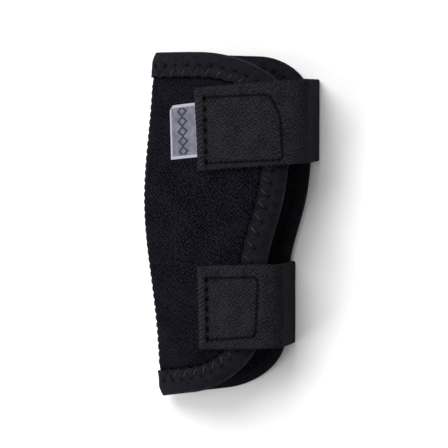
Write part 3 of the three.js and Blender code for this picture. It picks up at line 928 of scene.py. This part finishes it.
def flap_piece(strap, seed):
    corners = np.array(BOX_LINES[strap.name])
    lefts, rights = corners[[0, -1], 0], corners[1:-1, 0]
    line_places = [0.0, *lefts, *np.arange(rights.min(), rights.max() + 1.0, 1.0)]
    rows = spaced(0.0, strap.rise_middle, 0.8, 0.22, line_places, 0.9)

    def top(along, across):
        return box_relief(strap, along, across) + tip_rounding(along, across)

    def bottom(along, across):
        return -tip_rounding(along, across)

    def shade(along, across):
        return box_shade(strap, along, across)

    features = corners[np.abs(corners[:, 1]) > 10, 1]
    name = f"{strap.name}_strap_flap_webbing"
    return webbing_piece(name, strap, rows, features, top, bottom, seed, shade)


def anchor_line(strap):
    """The rectangle of anchor stitches on a strap's sewn end, from corner to corner and back."""
    near_end, far_end = strap.anchor
    half = WEBBING_WIDTH / 2 - ANCHOR_SIDE
    corners = [(near_end, -half), (far_end, -half), (far_end, half), (near_end, half)]
    return np.array(corners + corners[:1])


def drawn_in(strap, along):
    """How far the sewn end is drawn up against the panel, as a height."""
    near_end = strap.anchor[0]
    return -0.95 * smoothstep(near_end - 8, near_end, along)


def anchor_relief(strap, along, across):
    """The outer face of the sewn end: drawn up, and sunk along its anchor stitches."""
    groove = 0.38 * bell(distance_to_path(anchor_line(strap), along, across), 0.55)
    return drawn_in(strap, along) - groove


def base_piece(strap, seed):
    rows = spaced(strap.rise_middle, strap.end, 0.9, 0.3, strap.anchor, 0.8)
    half = WEBBING_WIDTH / 2 - ANCHOR_SIDE

    def top(along, across):
        return anchor_relief(strap, along, across)

    def bottom(along, across):
        return drawn_in(strap, along) + 0 * across

    def shade(along, across):
        return side_shade(strap, along) + 0 * across

    name = f"{strap.name}_strap_sewn_webbing"
    return webbing_piece(name, strap, rows, (-half, half), top, bottom, seed, shade)


def between(starts, ends):
    """Shares of each stitch's length, and its places along and across the strap."""
    share = np.linspace(0, 1, 7)[None, :]
    along = starts[:, :1] * (1 - share) + ends[:, :1] * share
    across = starts[:, 1:] * (1 - share) + ends[:, 1:] * share
    return share, along, across


def stitch_rise(share, lift, dip):
    """A stitch swells between its needle holes and dives into them."""
    return lift * np.sin(math.pi * share) ** 0.6 - dip * np.abs(2 * share - 1) ** 4


def place_threads(name, strap, starts, ends, height, radius, dip, lift, material):
    """Straight stitches on a strap's outer face between places given as (along, across)."""
    share, along, across = between(starts, ends)
    n = HALF_WEB + height(along, across) + stitch_rise(share, lift, dip)
    away = 1 if np.mean(n) > 0 else -1      # from the middle of the webbing
    paths = strap.lay(along, across, n)
    return threads(name, paths, strap.lay(along, across, n + away) - paths, radius, material)


def box_stitches(strap):
    """Long stitches in the groove of the box."""
    knots = walk(box_path(strap), BOX_PITCH)

    def height(along, across):
        return box_relief(strap, along, across) + 0.02

    return place_threads(f"{strap.name}_strap_box_stitches", strap, knots[:-1], knots[1:], height,
                         0.26, 0.16, 0.10, STRAP_THREAD)


def tip_stitches(strap):
    """Slanting overlock strokes between the cut tip and the row of big holes."""
    holes = left_holes(strap)
    marks = np.arange(holes[0] - 1.0, holes[-1] + 1.0, LEFT_PITCH / 2)
    starts = np.stack([np.full_like(marks, 0.35), marks - 0.9], axis=1)
    ends = np.stack([box_left(strap, marks) - 1.2, marks + 0.8], axis=1)

    def height(along, across):
        return box_relief(strap, along, across) + tip_rounding(along, across) + 0.02

    return place_threads(f"{strap.name}_strap_tip_stitches", strap, starts, ends, height,
                         0.22, 0.18, 0.08, TIP_THREAD)


def anchor_stitches(strap):
    knots = walk(anchor_line(strap), ANCHOR_PITCH)

    def height(along, across):
        return anchor_relief(strap, along, across) + 0.03

    return place_threads(f"{strap.name}_strap_anchor_stitches", strap, knots[:-1], knots[1:], height,
                         0.27, 0.16, 0.12, HEM_THREAD)


def lining_anchor_stitches(strap):
    """The same box of stitches where it comes through the lining."""
    knots = walk(anchor_line(strap), ANCHOR_PITCH)
    share, along, across = between(knots[:-1], knots[1:])
    paths = strap.lay(along, across, 0 * along)
    paths[..., 2] = FAR_Z + FACE + 0.06 + stitch_rise(share, 0.12, 0.14)
    ups = np.zeros_like(paths)
    ups[..., 2] = 1
    return threads(f"{strap.name}_lining_anchor_stitches", paths, ups, 0.27, HEM_THREAD)


def hook_backing(strap):
    """The hook tape's backing, a thin plate with round edges under the flap."""
    half = WEBBING_WIDTH / 2 - HOOK_MARGIN
    rows = np.linspace(HOOK_INSET, HOOK_INSET + strap.patch, 46)
    profile = section(half, np.linspace(-half + EDGE_ROUND, half - EDGE_ROUND, 40))
    along = rows[:, None]
    across = profile[None, :, 0] + 0 * along
    height = -HALF_WEB - 0.42 + 0.26 * profile[None, :, 1] + 0 * along
    rings = strap.lay(along, across, height)
    uv = np.stack([along + 0 * across, across], -1)
    return loft(f"{strap.name}_strap_hook_backing", rings, HOOKS, uv, 60)


def hooks(strap):
    """Rows of small moulded hooks that point down at the panel, leaning to and fro by rows."""
    half = WEBBING_WIDTH / 2 - HOOK_MARGIN - 1.2
    rows = np.arange(HOOK_INSET + 1.0, HOOK_INSET + strap.patch - 0.8, 1.25)
    columns = np.arange(-half, half + 0.1, 1.4)
    row, column = (m.ravel() for m in np.meshgrid(rows, columns, indexing="ij"))
    lean = np.where(np.arange(len(row)) // len(columns) % 2 == 0, 1.0, -1.0)
    turn = np.linspace(0, 1, 7)
    reach = np.array([0.0, 0.02, 0.08, 0.22, 0.42, 0.56, 0.58])
    drop = np.array([0.0, 0.35, 0.66, 0.84, 0.86, 0.74, 0.56])
    along = row[:, None] + 0 * turn[None, :]
    across = column[:, None] + lean[:, None] * reach[None, :]
    height = -HALF_WEB - 0.55 - drop[None, :] + 0 * along
    paths = strap.lay(along, across, height)
    ups = strap.lay(along + 1, across, height) - paths
    return threads(f"{strap.name}_strap_hooks", paths, ups, 0.12, HOOKS, sides=5)


def fibre_roots(strap, random):
    """Where loose fibres start along the selvedges and the cut tip, and the way each points."""
    half = WEBBING_WIDTH / 2
    roots = []
    for sign in (-1, 1):
        for along in np.arange(0.6, strap.flap, 2.1):
            roots.append((along + random.uniform(-0.4, 0.4), sign * half, 0.0, sign))
    for across in np.arange(-half + 0.4, half, 1.3):
        roots.append((0.05, across + random.uniform(-0.3, 0.3), -1.0, 0.0))
    return roots


def edge_fibres(strap, seed):
    """Short loose fibres along the selvedges and the cut tip of a flap."""
    random = np.random.default_rng(seed)
    t = np.linspace(0, 1, 6)
    paths, ups = [], []
    for along, across, out_along, out_across in fibre_roots(strap, random):
        on_side = out_along == 0
        length = random.uniform(0.15, 0.45) if on_side else random.uniform(0.2, 0.55)
        sweep, curl = random.uniform(-0.8, 0.8), random.uniform(-0.5, 0.9)
        base = random.uniform(-0.2, 0.55)
        aside = sweep * t * length
        a = along + out_along * length * t + (aside if on_side else 0)
        c = across + out_across * length * t + (0 if on_side else aside)
        n = base + curl * length * t**2
        path = strap.lay(a, c, n)
        paths.append(path)
        ups.append(strap.lay(a, c, n + 1) - path)
    name = f"{strap.name}_strap_edge_fibres"
    return threads(name, np.array(paths), np.array(ups), 0.075, FIBRE, sides=4)


def flap_bend(strap, past):
    """A place on the strap's middle, in metres, that lies past the end of the flap."""
    x, z, _ = strap.path.at(strap.flap + past)
    return (x * MM, strap.tip_y * MM, z * MM)


for name, seed in (("upper", 31), ("lower", 47)):
    strap = Strap(name)
    body = f"{name}_strap"
    flap = flap_piece(strap, seed)
    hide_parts(f"{name}_strap_flap")
    flap_bend(strap, BLEND_START)
    flap_bend(strap, BLEND_END)
    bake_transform(flap)
    attach(base_piece(strap, seed + 3), BODY, "webbing", f"{name}_strap_base")
    attach(anchor_stitches(strap), BODY, "thread", f"{name}_anchor_thread")
    attach(lining_anchor_stitches(strap), BODY, "thread", f"{name}_anchor_thread")
    attach(box_stitches(strap), body, "thread", f"{name}_box_thread")
    attach(tip_stitches(strap), body, "thread", f"{name}_tip_thread")
    attach(hook_backing(strap), body, "hook_tape", f"{name}_hook_patch")
    attach(hooks(strap), body, "hook_tape")
    attach(edge_fibres(strap, seed + 9), body, "webbing")


def near_panel_top(x, y):
    """Height of the near panel's outer face at places in rows, each of nearly one y."""
    s = np.linspace(2.0, 60.0, 240)
    heights = np.empty_like(x)
    for row, row_y in enumerate(y.mean(axis=1)):
        flat_y = (row_y - s * FAN_LEAN) / (1 - s * FAN_SPREAD / HALF_LENGTH)
        section_x, _, section_z = lay("near", s, flat_y, FACE).T
        heights[row] = np.interp(x[row], section_x, section_z)
    return heights


def tag_middle(strap, along, across):
    """The label's middle layer: it droops from the strap, and comes to rest on the panel."""
    free = np.clip(-along / TAG_OUT, 0, 1)
    droop = -0.75 * free**1.5 + 0.16 * free * waves(along, across, 71, 26.0, 2)
    middle = strap.lay(along, across, -HALF_WEB - 0.26 + droop)
    panel = near_panel_top(middle[..., 0], middle[..., 1])
    rest = panel + 0.35 + 0.12 * waves(along, across, 72, 19.0, 2)
    middle[..., 2] = np.maximum(middle[..., 2], rest)
    return middle


def woven_tag(strap):
    """The folded label sewn in under the upper strap's tip, its free end resting on the panel."""
    across = np.linspace(-TAG_WIDTH / 2, TAG_WIDTH / 2, 70)[:, None]
    corner_share = np.clip((across - TAG_WIDTH / 2 + TAG_CHAMFER) / TAG_CHAMFER, 0, 1)
    outer = TAG_CHAMFER * corner_share**1.5 - TAG_OUT
    along = outer + (TAG_TUCK - outer) * np.linspace(0.0, 1.0, 34)[None, :]
    middle = tag_middle(strap, along, across)
    half = TAG_HALF - 0.10 * (1 - np.clip((along - outer) / 0.5, 0, 1))
    lift = np.stack([0 * half, 0 * half, half], -1)
    rings = there_and_back(middle + lift, middle - lift)
    flat = np.stack([along + TAG_OUT / 2, across + 0 * along], -1)
    return loft("woven_tag_label", rings, TAG, there_and_back(flat, flat), 50)


attach(woven_tag(Strap("upper")), "upper_strap", "tag_satin", "woven_tag")

# ---- Stage, light and camera ---------------------------------------------------------------------


def floor():
    mesh = bpy.data.meshes.new("floor")
    half, level = 3.0, -0.0004
    signs = [(-1, -1), (1, -1), (1, 1), (-1, 1)]
    mesh.from_pydata([(half * x, half * y, level) for x, y in signs], [], [(0, 1, 2, 3)])
    obj = bpy.data.objects.new("floor", mesh)
    bpy.context.scene.collection.objects.link(obj)
    material = bpy.data.materials.new("pale_floor")
    material.use_nodes = True
    surface = material.node_tree.nodes["Principled BSDF"]
    surface.inputs["Base Color"].default_value = (0.93, 0.93, 0.93, 1.0)
    surface.inputs["Roughness"].default_value = 0.9
    surface.inputs["Specular IOR Level"].default_value = 0.1
    mesh.materials.append(material)


def area_light(name, place, target, size, power, colour=(1, 1, 1)):
    data = bpy.data.lights.new(name, "AREA")
    data.shape, data.size, data.energy, data.color = "DISK", size, power, colour
    obj = bpy.data.objects.new(name, data)
    obj.location = place
    obj.rotation_euler = (Vector(target) - Vector(place)).to_track_quat("-Z", "Y").to_euler()
    bpy.context.scene.collection.objects.link(obj)


def camera():
    swing, distance = math.radians(12.0), 1.15
    target = Vector((-0.00080, 0.0, 0.018))
    data = bpy.data.cameras.new("camera")
    data.lens, data.sensor_width = 200.0, 36.0
    data.clip_start, data.clip_end = 0.01, 20.0
    obj = bpy.data.objects.new("camera", data)
    obj.location = target + distance * Vector((math.sin(swing), 0, math.cos(swing)))
    obj.rotation_euler = (0, swing, 0)
    bpy.context.scene.collection.objects.link(obj)
    bpy.context.scene.camera = obj


floor()
middle = (0.0, 0.0, 0.02)
area_light("key", (-0.25, 0.70, 1.00), middle, 1.0, 15.0)
area_light("fill", (-0.8, -0.3, 0.8), middle, 0.9, 8.0)
world = bpy.data.worlds.new("studio")
world.use_nodes = True
world.node_tree.nodes["Background"].inputs["Color"].default_value = (1, 1, 1, 1)
world.node_tree.nodes["Background"].inputs["Strength"].default_value = 0.42
bpy.context.scene.world = world
bpy.context.scene.view_settings.view_transform = "Standard"
camera()
